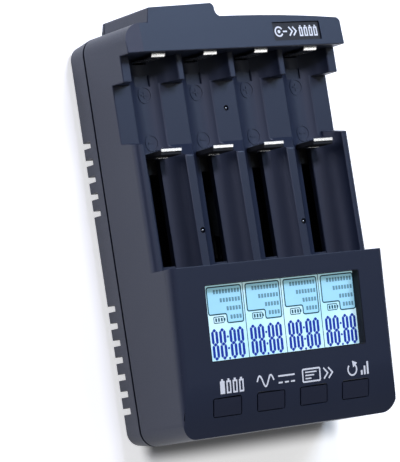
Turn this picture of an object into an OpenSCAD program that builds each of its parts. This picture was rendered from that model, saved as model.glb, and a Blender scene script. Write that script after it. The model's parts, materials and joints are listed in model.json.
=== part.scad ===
// Four-bay battery charger with a display, spring-loaded sliders and a cooling fan.
// It lies on its back: X runs across the bays, Y towards the power inlet, Z out of the face.

/* [Case] */
// Width of the case across its straight sides
case_w = 101; // [96:1:110]
// Length from the flat front end to the middle of the rear end
case_l = 152.5; // [148:0.5:162]
// How far the rear end bows out at its middle
rear_bow = 1.6; // [1:0.1:3]
// Radius of the upright corners of the case
corner_r = 6.5; // [5:0.5:8]
// Width of the cut along the upright edge behind the label
rear_cut = 1.1; // [0.6:0.1:2]
// Thickness of the moulded side walls
wall = 2.2; // [1.8:0.1:2.6]
// Height of the seam between the shells above the table
seam_z = 11.9; // [11.5:0.1:13]
// Height of the shadow groove along the seam
seam_gap = 0.9; // [0.3:0.1:1.2]
// Depth of the shadow groove along the seam
seam_d = 1; // [0.4:0.1:1.2]

/* [Base] */
// Thickness of the base plate
base_t = 2; // [1.6:0.1:2.4]
// Thickness of the lower shell's side walls
base_wall = 3; // [2.6:0.1:3.4]
// How far the lower shell's sides lean in at the bottom
base_draft = 1.2; // [0.6:0.1:1.6]
// Radius of the rounded bottom edge
base_r = 2; // [1:0.25:2.5]
// Height of the rubber feet below the base
foot_h = 1; // [0.6:0.1:1.6]
// Radius of the rubber feet
foot_r = 4; // [3:0.25:4.5]
// Depth of the recess that holds each foot
foot_sink = 0.8; // [0.4:0.1:1]
// Distance of the feet from the sides of the case
foot_in = 14; // [13:0.5:18]
// Distance of the feet from the ends of the case
foot_y = 25; // [22:0.5:30]

/* [Side vents] */
// Width of one side vent
vent_w = 2.3; // [1.6:0.1:2.8]
// Distance between neighbouring side vents
vent_pitch = 6.3; // [5.5:0.1:6.6]
// Height of the side vents above the base
vent_h = 6.3; // [3:0.1:7]
// How far the vents reach in under the base
vent_in = 6.6; // [4:0.1:7]
// Number of vents beside the bays
vents_rear = 5; // [1:1:5]
// Number of vents beside the display
vents_front = 7; // [1:1:7]
// Distance of the rear vents' first slot from the rear end
vent_rear_y = 39.9; // [38:0.1:44]
// Distance of the front vents' last slot from the front end
vent_front_y = 14.2; // [14.2:0.1:18]

/* [Battery bays] */
// Thickness of the side wall beside the outer bays
bay_side = 3.85; // [3:0.05:4.5]
// Radius of the round channel that holds a cell
bay_r = 10.8; // [10.2:0.1:11.1]
// Height of the channel's lowest line above the table
bay_z = 25; // [24.5:0.1:26]
// Thickness of the channel's skin
bay_t = 2.2; // [1.8:0.1:2.4]
// Height of the platform at the finger cut-out
platform_z = 27.1; // [26.6:0.1:28]
// Height of the ribs between the bays
rib_z = 31.85; // [30.5:0.05:33]
// Height of the side walls beside the bays
wall_z = 35.6; // [34.5:0.1:35.8]
// Radius of the side walls' rounded shoulder
shoulder_r = 2.8; // [2:0.1:3.6]
// Length of the finger cut-out
dip_l = 22.7; // [20:0.1:24]
// Length of the ramp that each rib starts with
ramp_l = 4.9; // [3.5:0.1:6]
// Width of the slot that a slider runs in
slot_w = 5.6; // [5:0.1:6]
// Distance from the slot's front end to the display block
slot_end = 2.4; // [1.5:0.1:3]
// Radius of the small moulded holes in the ribs
pip_r = 1.1; // [0.5:0.1:1.2]

/* [Header] */
// Depth of the header bar from the middle of the rear end
header_d = 12.5; // [12:0.1:13.5]
// Depth of the lower block in front of the header bar
block_d = 9.5; // [8.5:0.1:11]
// Height of the lower block
block_z = 34.2; // [33:0.1:36]
// Height of the header's front edge
header_z = 40.85; // [40:0.05:42]
// Backward tilt of the header's face, in degrees
header_tilt = 3.9; // [2:0.1:5]
// Width of the bevel at the header's left end
bevel_w = 6.3; // [4:0.1:7]
// Height of the bevel at the header's left end
bevel_h = 1.4; // [1:0.1:3.2]
// Left edge of the inlet housing
bump_x0 = -39; // [-40:0.5:-36]
// Right edge of the inlet housing
bump_x1 = -8.7; // [-12:0.1:-7]
// How far the inlet housing stands out of the rear end
bump_d = 5; // [4:0.25:6]
// How much less the housing stands out at its left end
bump_turn = 0.9; // [0:0.1:1.2]
// How far the housing's left side spreads towards the case
bump_splay = 1.4; // [0:0.1:2]
// Height of the housing's underside above the table
bump_z = 11.2; // [10.6:0.1:11.4]
// Radius of the housing's rounded corner
bump_r = 1.9; // [1.5:0.1:2.4]
// Radius of the curve that runs from the housing into the rear end
bump_fillet = 2.9; // [1.5:0.1:3]
// Width of the label recess
label_w = 22.9; // [18:0.1:26]
// Height of the label recess
label_h = 7.2; // [6:0.1:8]
// Distance of the label recess from the side of the case
label_side = 10.55; // [7.5:0.05:12]
// Distance of the label from the header's front edge
label_y = 2.2; // [1.5:0.1:2.8]
// Depth of the label recess
label_d = 1; // [0.6:0.1:1.2]
// Thickness of the label plate
label_t = 0.4; // [0.3:0.1:0.5]

/* [Display block] */
// Length of the display block from the front end
panel_l = 61.1; // [60:0.1:64]
// Height of the display block's rear edge
panel_z = 44.7; // [44:0.1:46]
// Forward tilt of the display face, in degrees
panel_tilt = 4.5; // [3.5:0.1:5.5]
// Thickness of the display face
panel_t = 2.4; // [2:0.1:2.8]
// Radius of the display block's long edges
panel_r = 3.2; // [2.5:0.1:5]
// Distance from the rear edge to where the face starts to curve down
droop_y = 39.2; // [38.5:0.1:42]
// Radius of the face's curve towards the front end
droop_r = 81.5; // [70:0.5:110]
// Mean width of the face on each side of the display window
lcd_side = 14.1; // [13:0.1:17]
// Height of the display window
lcd_h = 27.8; // [24:0.2:28.4]
// Middle of the window across the case
lcd_x = 0.5; // [0:0.1:1.4]
// Distance of the window from the rear edge
lcd_y = 7.1; // [6.8:0.1:8]
// Height of the gasket between the face and the display glass
gasket_t = 1.1; // [0.8:0.1:1.5]
// Thickness of the display glass
glass_t = 2.6; // [2:0.1:3]
// Thickness of the backlight block
light_t = 3; // [2.5:0.1:3.5]
// Width of the glass rim that the window hides
glass_rim = 2.6; // [2:0.1:2.6]

/* [Buttons] */
// Width of one button
button_w = 12.4; // [10:0.1:14]
// Height of one button
button_h = 6.3; // [5:0.1:7]
// Mean distance of the outer buttons' middles from the sides
button_side = 20.2; // [19.2:0.1:23]
// Middle of the row of buttons across the case
button_x = -0.1; // [-0.5:0.1:0.8]
// Distance of the row of buttons from the rear edge of the face
button_y = 51.2; // [50.5:0.1:52]
// Radius of each button's corners
button_r = 0.3; // [0.2:0.05:1]
// Gap around each button
button_gap = 0.3; // [0.2:0.05:0.5]
// Travel of each button
button_travel = 0.5; // [0.3:0.05:0.6]

/* [Sliders] */
// Shortest cell that the sliders grip at rest
cell_min = 33.3; // [32:0.1:34]
// Width of the slider's upright
slider_w = 9.4; // [7.5:0.1:10]
// Thickness of the slider's upright
slider_t = 1.8; // [1.4:0.1:2.2]
// Height of the slider's top above the table
slider_z = 36.6; // [35:0.1:38]
// Length of the slider's runner under the floor
runner_l = 8; // [7:0.1:9]
// Width of the slider's runner
runner_w = 11; // [9:0.1:12]
// Thickness of the slider's runner
runner_t = 2.2; // [1.8:0.1:2.4]
// Running gap of the sliders
slide_gap = 0.3; // [0.25:0.05:0.4]
// Thickness of the contact sheet
sheet_t = 0.4; // [0.3:0.05:0.5]
// Width of the slider's contact plate
plate_w = 9.2; // [7:0.1:9.2]
// Width of the tail behind the slider
tail_w = 5; // [4:0.1:6]
// Width of the fixed contact at the header
leaf_w = 6; // [5:0.1:6.4]
// How far the fixed contact stands out of the header's wall
leaf_out = 1.6; // [1.4:0.1:2]
// Outer radius of the return spring
spring_r = 2; // [1.8:0.1:2.2]
// Radius of the spring's wire
wire_r = 0.25; // [0.2:0.05:0.3]
// Number of turns of the return spring
spring_turns = 10; // [8:1:11]

/* [Boards and power] */
// Thickness of the circuit boards
board_t = 1.6; // [1.2:0.1:1.8]
// Height of the main board's underside above the table
board_z = 14.5; // [14.4:0.1:14.8]
// Gap between the main board and the side walls
board_gap = 2.8; // [2.3:0.1:5]
// Width of the inlet's body
jack_w = 9; // [8:0.1:10]
// Height of the inlet's body
jack_h = 11; // [10:0.1:12]
// Radius of the inlet's opening
jack_r = 3.2; // [3:0.05:3.4]
// Depth of the inlet's opening
jack_depth = 9.5; // [8:0.1:10]
// Radius of the inlet's centre pin
jack_pin_r = 1.25; // [1:0.05:1.4]
// Width of the control chip
chip_w = 12; // [8:0.5:13]
// Height of the control chip
chip_h = 1.4; // [1:0.1:2]
// Middle of the control chip across the case
chip_x = -20; // [-21:0.5:-18]
// Distance of the control chip's middle from the display block's rear edge
chip_y = 28; // [26:0.5:30]
// Width of one charging coil
coil_w = 10; // [8:0.5:12]
// Height of one charging coil
coil_h = 4.5; // [3:0.1:5]
// Radius of a coil's winding
coil_r = 3.4; // [2.5:0.1:3.6]
// Distance of the coils' middles from the display block's rear edge
coil_y = 12; // [10:0.5:13]
// Radius of the smoothing capacitors
can_r = 4; // [3:0.1:4.4]
// Height of the smoothing capacitors
can_h = 9.5; // [7:0.5:10]
// Middle of the first capacitor across the case
can_x = 8; // [7:0.5:10]
// Distance between the two capacitors
can_pitch = 11; // [9.5:0.5:12]
// Distance of the capacitors from the display block's rear edge
can_y = 30; // [28:0.5:32]
// Width of the flat cable
cable_w = 18; // [12:0.5:20]
// Thickness of the flat cable
cable_t = 0.5; // [0.3:0.1:0.6]
// Distance of the flat cable from the display block's rear edge
cable_y = 22; // [21:0.5:23]
// How far the flat cable bows out between the boards
cable_bow = 3; // [2:0.1:3.5]

/* [Fan] */
// Width of the square fan frame
fan_w = 40; // [38:0.5:41]
// Thickness of the fan
fan_t = 7; // [6:0.1:7]
// Distance of the fan's axis from the middle of the case, along it
fan_y = 4; // [2:0.5:6]
// Radius of the fan's air hole
fan_r = 18.4; // [17:0.1:18.5]
// Number of fan blades
fan_blades = 7; // [5:1:9]
// Radius of the rotor's hub
fan_hub_r = 8.5; // [7.5:0.1:9]
// Radius of the rotor's shaft
shaft_r = 1; // [0.8:0.05:1.2]
// Running gap of the shaft in its bush
shaft_gap = 0.05; // [0.03:0.01:0.08]

/* [Screws] */
// Radius of the screws' thread
screw_r = 1.25; // [1:0.05:1.4]
// Gap between a thread and its bore
screw_gap = 0.05; // [0.02:0.01:0.08]
// Radius of the screws' heads
head_r = 2.4; // [2:0.1:2.6]
// Height of the screws' heads
head_h = 1.4; // [1:0.1:1.5]
// Length of the main board's screws below its top
board_screw_l = 7; // [5:0.5:7]
// Radius of the display board's screw heads
tie_head_r = 1.8; // [1.5:0.1:1.8]
// Height of the display board's screw heads
tie_head_h = 1; // [0.8:0.1:1]
// How far the display board's screws reach into their posts
tie_l = 3; // [2:0.25:3]
// Margin of the display board beside its screws
card_side = 2.8; // [2.4:0.1:2.8]
// Wall around each screw's bore
boss_t = 2; // [1.6:0.1:2.1]
// Distance of the case screws from the sides of the case
post_in = 8; // [7.5:0.1:9]
// Distance of the front case screws from the front end
post_front = 8.6; // [8.2:0.1:8.8]
// Distance of the rear case screws from the rear end
post_rear = 9.2; // [9.1:0.1:9.4]

/* [Hidden] */
$fn = 64;
eps = 0.01;
fit_gap = 0.15;
half_w = case_w / 2;
y_front = -(case_l + bump_d) / 2;
y_rear = y_front + case_l;
y_side = y_rear - rear_bow;
y_head = y_rear - header_d;
y_block = y_head - block_d;
y_ramp = y_block - dip_l;
y_rib = y_ramp - ramp_l;
y_panel = y_front + panel_l;
bow_half = half_w - corner_r;
bow_r = (bow_half * bow_half + rear_bow * rear_bow) / (2 * rear_bow);
bay_pitch = (case_w - 2 * bay_side - 2 * bay_r) / 3;
lcd_w = case_w - 2 * lcd_side;
button_pitch = (case_w - 2 * button_side) / 3;
board_w = case_w - 2 * wall - 2 * board_gap;
foot_x = half_w - foot_in;
label_x = half_w - label_side - label_w / 2;
post_x = half_w - post_in;
bay_axis = bay_z + bay_r;
bay_under = bay_z - bay_t;
bays = [for (k = [0:3]) k - 1.5];
tall = panel_z + 20;
base_z = foot_h;
floor_z = base_z + base_t;
bore_r = screw_r + screw_gap;
boss_r = bore_r + boss_t;
clear_r = screw_r + 0.25;
post_z = 6;
post_end = 15;
post_top_front = panel_z - (panel_l - post_front) * tan(panel_tilt) - panel_t - 0.6;
post_top_rear = header_z - panel_t + 0.4;
posts = [[-post_x, y_front + post_front], [post_x, y_front + post_front],
         [-post_x, y_rear - post_rear], [post_x, y_rear - post_rear]];
feet = [[-foot_x, y_front + foot_y], [foot_x, y_front + foot_y],
        [-foot_x, y_rear - foot_y], [foot_x, y_rear - foot_y]];

// Sliders and fixed contacts
y_tip = y_head - leaf_out;
y_plate = y_tip - cell_min;
y_slide = y_plate - sheet_t;
y_back = y_slide - slider_t;
neck_w = slot_w - 2 * slide_gap;
slot_y0 = y_panel + slot_end;
slot_y1 = y_slide + slide_gap;
runner_toe = 1;
runner_y = y_slide - runner_l + runner_toe;
runner_z1 = bay_under - slide_gap;
runner_z0 = runner_z1 - runner_t;
tail_up = 4.5;
tail_z = bay_z + tail_up;
tail_h = 1.3;
lip_d = 1;
eye_gap = 0.75;
eye_fit = 0.1;
eye_lip = 0.5;
spring_in = 0.5;
spring_out = 3.5;
spring_lead = 1.5;
spring_z = runner_z0 - wire_r - eye_gap;
spring_eye = 1.35;
eye_post_r = spring_eye - wire_r - eye_fit;
eye_post_z = spring_z - wire_r - eye_lip - eye_fit;
spring_y0 = y_slide - spring_in;
spring_y1 = y_block + spring_out;
leaf_in = 1.1;
leaf_drop = 3.2;
leaf_foot = 2;
leaf_mid = 8;
leaf_y = y_head - leaf_in;
leaf_z = header_z - leaf_drop;

// Main board
board_top = board_z + board_t;
board_y0 = y_front + 14;
board_y1 = y_head - 0.7;
jack_x = (bump_x0 + bump_x1) / 2;
jack_y1 = y_rear + bump_d - wall - 0.75 * bump_turn;
jack_y0 = y_head + wall + 0.4;
jack_z = board_top + jack_h / 2;
board_posts = [[-foot_x, y_front + 38], [foot_x, y_front + 38], [-bay_pitch, y_head - 18], [bay_pitch,
    y_head - 18]];

// Display stack, as depths below the face
glass_d = panel_t + gasket_t;
light_d = glass_d + glass_t;
card_d = light_d + light_t;
card_under = card_d + board_t;
card_y0 = lcd_y - glass_rim - 0.3;
glass_y0 = lcd_y - glass_rim;
glass_y1 = lcd_y + lcd_h + glass_rim;
strip_w = 2;
card_y1 = glass_y1 + 5.4;
key_y1 = button_y + 5.6;
key_half = 1.5 * button_pitch + 5.6;
tie_x = half_w - wall - 3.4;
tie_r = 2.3;
tie_bore = 0.95;
ties = [[-tie_x, -lcd_y - 2], [tie_x, -lcd_y - 2], [-tie_x, -glass_y1 + 1], [tie_x, -glass_y1 + 1]];

// Switches under the buttons
switch_w = 6;
switch_h = 3;
plunger_r = 1.6;
plunger_h = 0.9;
cap_d = card_d - switch_h - plunger_h;
flange_t = 0.8;

// Fan
fan_z = floor_z + 2.5;
fan_hole = fan_w / 2 - 4;
fan_corners = [[-fan_hole, -fan_hole], [fan_hole, -fan_hole], [-fan_hole, fan_hole], [fan_hole, fan_hole]];
hub_plate = 1.4;
bush_r = 2.4;
tip_gap = 0.6;

// Points on an arc about [x, y]
function arc(x, y, r, a0, a1, n = 8) =
    [for (i = [0:n]) let (a = a0 + (a1 - a0) * i / n) [x + r * cos(a), y + r * sin(a)]];

// Points in turned order
function turned(p) = [for (i = [len(p) - 1:-1:0]) p[i]];

// Outline of a bent sheet, from the line that its middle follows
function unit(v) = v / norm(v);
function side(p, i) = let (a = p[max(i - 1, 0)], b = p[min(i + 1, len(p) - 1)], d = unit(b - a)) [-d[1],
    d[0]];
function sheet(p, t) = concat([for (i = [0:len(p) - 1]) p[i] + side(p, i) * t / 2],
                              [for (i = [len(p) - 1:-1:0]) p[i] - side(p, i) * t / 2]);

// Rounded rectangle about the origin
module slab(w, h, r) {
    square([w - 2 * r, h], center = true);
    square([w, h - 2 * r], center = true);
    for (x = [-1, 1], y = [-1, 1]) translate([x * (w / 2 - r), y * (h / 2 - r)]) circle(r);
}

// Outline of the case seen from above, drawn in by d
module outline(d = 0) {
    y0 = y_side - corner_r - 1;
    x1 = half_w - d;
    difference() {
        translate([0, (y_front + y_side) / 2])
            slab(case_w - 2 * d, y_side - y_front - 2 * d, corner_r - d);
        translate([bow_half - 3, y0 + 0.5]) square(3 * corner_r);
    }
    difference() {
        intersection() {
            translate([0, y_rear - bow_r]) circle(bow_r - d, $fn = 720);
            translate([-bow_half, y0]) square([bow_half + x1, y_rear - y0 + 1]);
        }
        if (d == 0) translate([half_w, y_rear - bow_r + sqrt(bow_r * bow_r - half_w * half_w)]) rotate(45)
            translate([-rear_cut / sqrt(2), -10]) square(20);
    }
}

// Outline of the inlet housing, drawn in by d
module bump_plan(d = 0) {
    y1 = y_rear + bump_d - d;
    r = bump_r - d * 0.5;
    x0 = bump_x0 + d;
    polygon(concat([[x0 - bump_splay, y_rear - 8], [x0 - bump_splay, y_rear - rear_bow],
                    [x0 - 0.1, y1 - bump_turn - 0.5], [x0 + 0.5, y1 - bump_turn]],
                   arc(bump_x1 - d - r, y1 - r, r, 90, 0), [[bump_x1 - d, y_rear - 8]]));
}

// Curved foot that blends the inlet housing into the rear end
module bump_foot() {
    difference() {
        translate([bump_x1 - 1, y_rear - 2]) square([bump_fillet + 1, bump_fillet + 1.8]);
        translate([bump_x1 + bump_fillet, y_rear + bump_fillet - 0.2]) circle(bump_fillet);
    }
}

// Floor of the inlet housing, part of the lower shell
module bump_floor() {
    r = seam_z - bump_z;
    intersection() {
        difference() {
            translate([0, 0, bump_z]) linear_extrude(seam_z + seam_gap - bump_z) bump_plan();
            translate([0, 0, seam_z]) linear_extrude(tall) outline();
            linear_extrude(tall) outline(base_wall);
        }
        translate([0, y_rear + bump_d + 1, 0]) rotate([90, 0, 0]) linear_extrude(bump_d + 9) polygon(concat(
            [[bump_x0 - bump_splay, seam_z + 2]], arc(bump_x0 - bump_splay + r, seam_z, r, 180, 270),
            arc(bump_x1 - r, seam_z, r, 270, 360), [[bump_x1, seam_z + 2]]));
    }
}

// Places children on the display face: X across, -Y down the face, Z out of it
module on_panel() translate([0, y_panel, panel_z]) rotate([panel_tilt, 0, 0]) children();

// Places children on the header's face, with Y running back from its front edge
module on_header() translate([0, y_head, header_z]) rotate([-header_tilt, 0, 0]) children();

// Display block with rounded long edges and a curved front, drawn in by d, its face by t
module panel_block(d, t, z0) {
    r = panel_r - d;
    h = half_w - d + (d > 0 ? 0.4 : 0);
    intersection() {
        translate([0, 0, z0]) linear_extrude(tall) outline(d);
        translate([-case_w, y_front - 10, 0]) cube([2 * case_w, panel_l + 10 - d, tall]);
        on_panel() difference() {
            translate([0, 10, 0]) rotate([90, 0, 0]) linear_extrude(panel_l + 30) polygon(concat(
                [[-h - 5, -tall], [-h - 5, -t - r]], arc(-h + r, -t - r, r, 180, 90),
                arc(h - r, -t - r, r, 90, 0), [[h + 5, -t - r], [h + 5, -tall]]));
            difference() {
                translate([-case_w, -droop_y - panel_l, -panel_z]) cube([2 * case_w, panel_l, 2 * panel_z]);
                translate([-case_w - 1, -droop_y, 0.04 - droop_r]) rotate([0, 90, 0])
                    cylinder(r = droop_r - t, h = 2 * case_w + 2, $fn = 360);
            }
        }
    }
}

// Header bar and inlet housing under one tilted face, drawn in by d, the face by t
module header_bar(d, t, z0) {
    intersection() {
        translate([0, 0, z0]) linear_extrude(tall) {
            outline(d);
            bump_plan(d);
            if (d == 0) bump_foot();
        }
        translate([-case_w, y_head + d, 0]) cube([2 * case_w, header_d + bump_d + 10, tall]);
        on_header() translate([0, case_l / 2, -t]) rotate([90, 0, 0]) linear_extrude(case_l) polygon([
            [-half_w - 5, -tall], [-half_w - 5, -bevel_h - 5 * bevel_h / bevel_w],
            [-half_w + bevel_w, 0], [half_w + 5, 0], [half_w + 5, -tall]]);
    }
}

// Side wall beside the bays, with its rounded shoulder
module bay_wall() {
    r = shoulder_r;
    intersection() {
        linear_extrude(tall) outline();
        translate([0, y_block, 0]) rotate([90, 0, 0]) linear_extrude(y_block - y_panel + 1) polygon(concat(
            [[half_w - r - 4, seam_z + 2], [half_w + 5, seam_z + 2], [half_w + 5, wall_z - r]],
            arc(half_w - r, wall_z - r, r, 0, 90), [[half_w - r - 4, wall_z]]));
        rotate([90, 0, 90]) linear_extrude(case_w) polygon([
            [y_panel - 1, seam_z + 2], [y_ramp + 1.4, seam_z + 2], [y_ramp + 1.4, platform_z],
            [y_ramp - 0.4, wall_z], [y_ramp - 0.4, wall_z + 1], [y_panel - 1, wall_z + 1]]);
    }
}

// Block of the ribs between the bays, with the ramps that they start with
module bay_ribs() {
    x = 1.5 * bay_pitch + bay_r + 0.2;
    slope = (rib_z - platform_z) / ramp_l;
    translate([-x, 0, 0]) rotate([90, 0, 90]) linear_extrude(2 * x) polygon([
        [y_panel - 1, platform_z - 1], [y_ramp + 1 / slope, platform_z - 1],
        [y_rib, rib_z], [y_panel - 1, rib_z]]);
}

// Round channels of the bays, of radius r
module channels(r) {
    for (i = bays) translate([i * bay_pitch, y_panel, bay_axis]) rotate([-90, 0, 0]) cylinder(r = r,
        h = y_head - y_panel);
}

// Hollow under the ribs from y0 to y1, up to height z
module rib_hollow(y0, y1, z) {
    difference() {
        intersection() {
            translate([0, 0, bay_under - 1]) linear_extrude(z - bay_under + 1) outline(wall);
            translate([-case_w, y0, 0]) cube([2 * case_w, y1 - y0, tall]);
        }
        translate([0, -1, 0]) channels(bay_r + bay_t);
        translate([0, 1, 0]) channels(bay_r + bay_t);
    }
}

// Upper shell: bays, header, inlet housing and display block in one moulding
module top_shell() color("#394255") difference() {
    union() {
        difference() {
            union() {
                translate([0, 0, seam_z]) linear_extrude(seam_gap + 1) outline(seam_d);
                translate([0, 0, seam_z + seam_gap]) linear_extrude(platform_z - seam_z - seam_gap)
                    outline();
                panel_block(0, 0, seam_z + seam_gap);
                header_bar(0, 0, seam_z + seam_gap);
                intersection() {
                    translate([0, 0, seam_z + seam_gap]) linear_extrude(block_z - seam_z - seam_gap)
                        outline();
                    translate([-case_w, y_block, 0]) cube([2 * case_w, block_d + 1, tall]);
                }
                bay_ribs();
                bay_wall();
                mirror([1, 0, 0]) bay_wall();
            }
            channels(bay_r);
            translate([0, 0, seam_z - 1]) linear_extrude(bay_under - seam_z + 1) outline(wall);
            panel_block(wall, panel_t, seam_z - 1);
            header_bar(wall, panel_t, seam_z - 1);
            rib_hollow(y_panel + wall, y_rib - wall, rib_z - bay_t);
            rib_hollow(y_ramp + wall, y_block - wall, platform_z - bay_t);
            rib_hollow(y_block + wall, y_head - wall, block_z - bay_t);
        }
        for (p = posts) translate([p[0], p[1], post_z])
            cylinder(r = boss_r, h = (p[1] < 0 ? post_top_front : post_top_rear) - post_z);
        for (t = ties) on_panel() translate([t[0], t[1], -card_d]) cylinder(r = tie_r,
            h = card_d - panel_t + 0.5);
        for (i = bays) translate([i * bay_pitch, spring_y1, eye_post_z]) {
            cylinder(r = eye_post_r, h = bay_under - eye_post_z + 0.5);
            cylinder(r = eye_post_r + eye_lip, h = eye_lip);
        }
    }
    // Slider slots, contact slits and the flat before each fixed contact
    for (i = bays) translate([i * bay_pitch, 0, 0]) {
        translate([-slot_w / 2, slot_y0, bay_under - 1]) cube([slot_w, slot_y1 - slot_y0, bay_t + 3]);
        translate([-leaf_w / 2 - fit_gap, leaf_y - 0.6, bay_under - 1]) cube([leaf_w + 2 * fit_gap, 1.2,
            bay_t + 3]);
        translate([-leaf_w / 2 - fit_gap, y_head - 1, leaf_z - 0.6]) cube([leaf_w + 2 * fit_gap,
            wall + 2, 1.2]);
        translate([-3.3, y_block - 0.45, bay_z - 0.1]) cube([6.6, 4, 2]);
    }
    // Small moulded holes in the ribs
    translate([0, y_block - 10.3, platform_z - 3]) cylinder(r = pip_r, h = 6);
    for (x = [-bay_pitch, bay_pitch]) translate([x + 0.7, y_panel + 14, rib_z - 3]) cylinder(r = pip_r,
        h = 6);
    // Display window and button holes
    on_panel() {
        translate([lcd_x, -lcd_y - lcd_h / 2, -panel_t - 3]) linear_extrude(10) slab(lcd_w, lcd_h, 0.8);
        for (i = bays) translate([button_x + i * button_pitch, -button_y, -panel_t - 6]) linear_extrude(16)
            slab(button_w + 2 * button_gap, button_h + 2 * button_gap, button_r + button_gap);
        for (t = ties) translate([t[0], t[1], -card_d - 1]) cylinder(r = tie_bore, h = card_d - panel_t);
    }
    // Label recess and inlet opening
    on_header() translate([label_x, label_y + label_h / 2, -label_d]) linear_extrude(5) slab(label_w,
        label_h, 0.6);
    translate([jack_x, y_rear, jack_z]) rotate([-90, 0, 0]) cylinder(r = jack_r + 1.2, h = bump_d + 5);
    for (p = posts) translate([p[0], p[1], post_z - 1]) cylinder(r = bore_r, h = post_end - post_z + 1);
}

// Lower shell's edge, from its rim at distance x in to the flat base
function base_edge(x) = concat([[x, seam_z]], arc(x - base_draft - base_r, base_z + base_r, base_r, 0,
    -90));

// Straight run of the lower shell between its sides, from y0 to y1
module base_run(y0, y1) translate([0, y1, 0]) rotate([90, 0, 0]) linear_extrude(y1 - y0) polygon(concat(
    base_edge(half_w), turned([for (e = base_edge(half_w)) [-e[0], e[1]]])));

// Solid of the lower shell, its sides leaning in to a rounded bottom edge
module base_form() {
    y0 = y_front + corner_r;
    y1 = y_side - corner_r;
    for (c = [[-bow_half, y0], [bow_half, y0], [-bow_half, y1]]) translate([c[0], c[1], 0])
        rotate_extrude() polygon(concat(base_edge(corner_r), [[0, base_z], [0, seam_z]]));
    base_run(y0, y1);
    translate([-bow_half, 0, 0]) rotate([90, 0, 90]) linear_extrude(2 * bow_half) polygon(concat(
        [for (e = base_edge(corner_r)) [y0 - e[0], e[1]]], [[y1, base_z], [y1, seam_z]]));
    intersection() {
        base_run(y0, y_rear + 1);
        translate([-bow_half, y0, 0]) cube([bow_half + case_w, case_l, tall]);
        translate([0, y_rear - bow_r, 0]) rotate_extrude($fn = 720)
            polygon(concat(base_edge(bow_r), [[0, base_z], [0, seam_z]]));
    }
}

// Lower shell: base plate, vents, grille, screw posts and fan bosses
module bottom_shell() color("#2f3646") difference() {
    union() {
        difference() {
            intersection() {
                translate([0, 0, base_z]) linear_extrude(seam_z - base_z) outline();
                base_form();
            }
            translate([0, 0, floor_z]) linear_extrude(seam_z) outline(base_wall);
        }
        bump_floor();
        for (p = posts) translate([p[0], p[1], base_z + 0.5]) cylinder(r = head_r + 1.6,
            h = post_z - base_z - 0.5);
        for (p = board_posts) translate([p[0], p[1], floor_z - 0.5]) cylinder(r = boss_r,
            h = board_z - floor_z + 0.5);
        for (c = fan_corners) translate([c[0], c[1] + fan_y, floor_z - 0.5]) cylinder(r = boss_r,
            h = fan_z - floor_z + 0.5);
    }
    for (s = [-1, 1]) {
        for (i = [0:vents_rear - 1]) vent(s, y_rear - vent_rear_y - i * vent_pitch);
        for (i = [0:vents_front - 1]) vent(s, y_front + vent_front_y + i * vent_pitch);
    }
    // Grille under the fan
    for (i = [-3:3]) translate([i * 4.6, fan_y, 0])
        cube([2.2, 2 * sqrt(pow(fan_r - 1.4, 2) - pow(i * 4.6, 2)), 3 * floor_z], center = true);
    for (p = posts) translate([p[0], p[1], 0]) {
        translate([0, 0, -1]) cylinder(r = head_r + 0.3, h = post_z - 1.2);
        cylinder(r = clear_r, h = post_z + 1);
    }
    for (p = board_posts) translate([p[0], p[1], floor_z + 2]) cylinder(r = bore_r, h = board_z);
    for (c = fan_corners) translate([c[0], c[1] + fan_y, base_z + 0.8]) cylinder(r = bore_r, h = fan_z);
    for (f = feet) translate([f[0], f[1], -1]) cylinder(r = foot_r + fit_gap, h = 1 + base_z + foot_sink);
}

// One side vent, cut through the side wall and the edge of the base
module vent(s, y) {
    translate([s > 0 ? half_w - vent_in : -half_w - 2, y - vent_w / 2, -1]) cube([vent_in + 2, vent_w,
        base_z + vent_h + 1]);
}

// Blank plate in the label recess
module label_plate() color("#2a2c33") on_header() translate([label_x, label_y + label_h / 2, -label_d])
    linear_extrude(label_t) slab(label_w - 2 * fit_gap, label_h - 2 * fit_gap, 0.5);

// Soft frame between the face and the display glass
module lcd_gasket() color("#1a1b20") on_panel() translate([lcd_x, -lcd_y - lcd_h / 2, -glass_d])
    difference() {
    linear_extrude(gasket_t) slab(lcd_w + 2 * glass_rim, lcd_h + 2 * glass_rim, 1);
    translate([0, 0, -1]) linear_extrude(gasket_t + 2) slab(lcd_w, lcd_h, 0.8);
}

// Display glass
module lcd_glass() color("#c8eef5") on_panel() translate([lcd_x - lcd_w / 2 - glass_rim, -glass_y1,
    -light_d])
    cube([lcd_w + 2 * glass_rim, glass_y1 - glass_y0, glass_t]);

// Light block behind the glass
module lcd_backlight() color("#e8f6ff") on_panel()
    translate([lcd_x - lcd_w / 2 - glass_rim, -glass_y1 + strip_w + 0.3, -card_d])
    cube([lcd_w + 2 * glass_rim, glass_y1 - glass_y0 - strip_w - 0.3, light_t]);

// Elastic strip that joins the glass to its board
module lcd_connector() color("#4a4a50") on_panel() translate([lcd_x - lcd_w / 2, -glass_y1, -card_d])
    cube([lcd_w, strip_w, light_t]);

// Board behind the display and the buttons
module display_board() color("#2f6b46") on_panel() difference() {
    translate([0, 0, -card_under]) linear_extrude(board_t) {
        translate([-tie_x - card_side, -card_y1]) square([2 * (tie_x + card_side), card_y1 - card_y0]);
        translate([button_x - key_half, -key_y1]) square([2 * key_half, key_y1 - card_y1 + 1]);
    }
    for (t = ties) translate([t[0], t[1], -card_under - 1]) cylinder(r = tie_bore + 0.15, h = board_t + 2);
}

// Screws that hold the display board
module display_screws() color("#b8bcc4") on_panel() for (t = ties) translate([t[0], t[1], -card_under]) {
    cylinder(r = tie_bore - screw_gap, h = board_t + tie_l);
    translate([0, 0, -tie_head_h]) cylinder(r = tie_head_r, h = tie_head_h);
}

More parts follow.
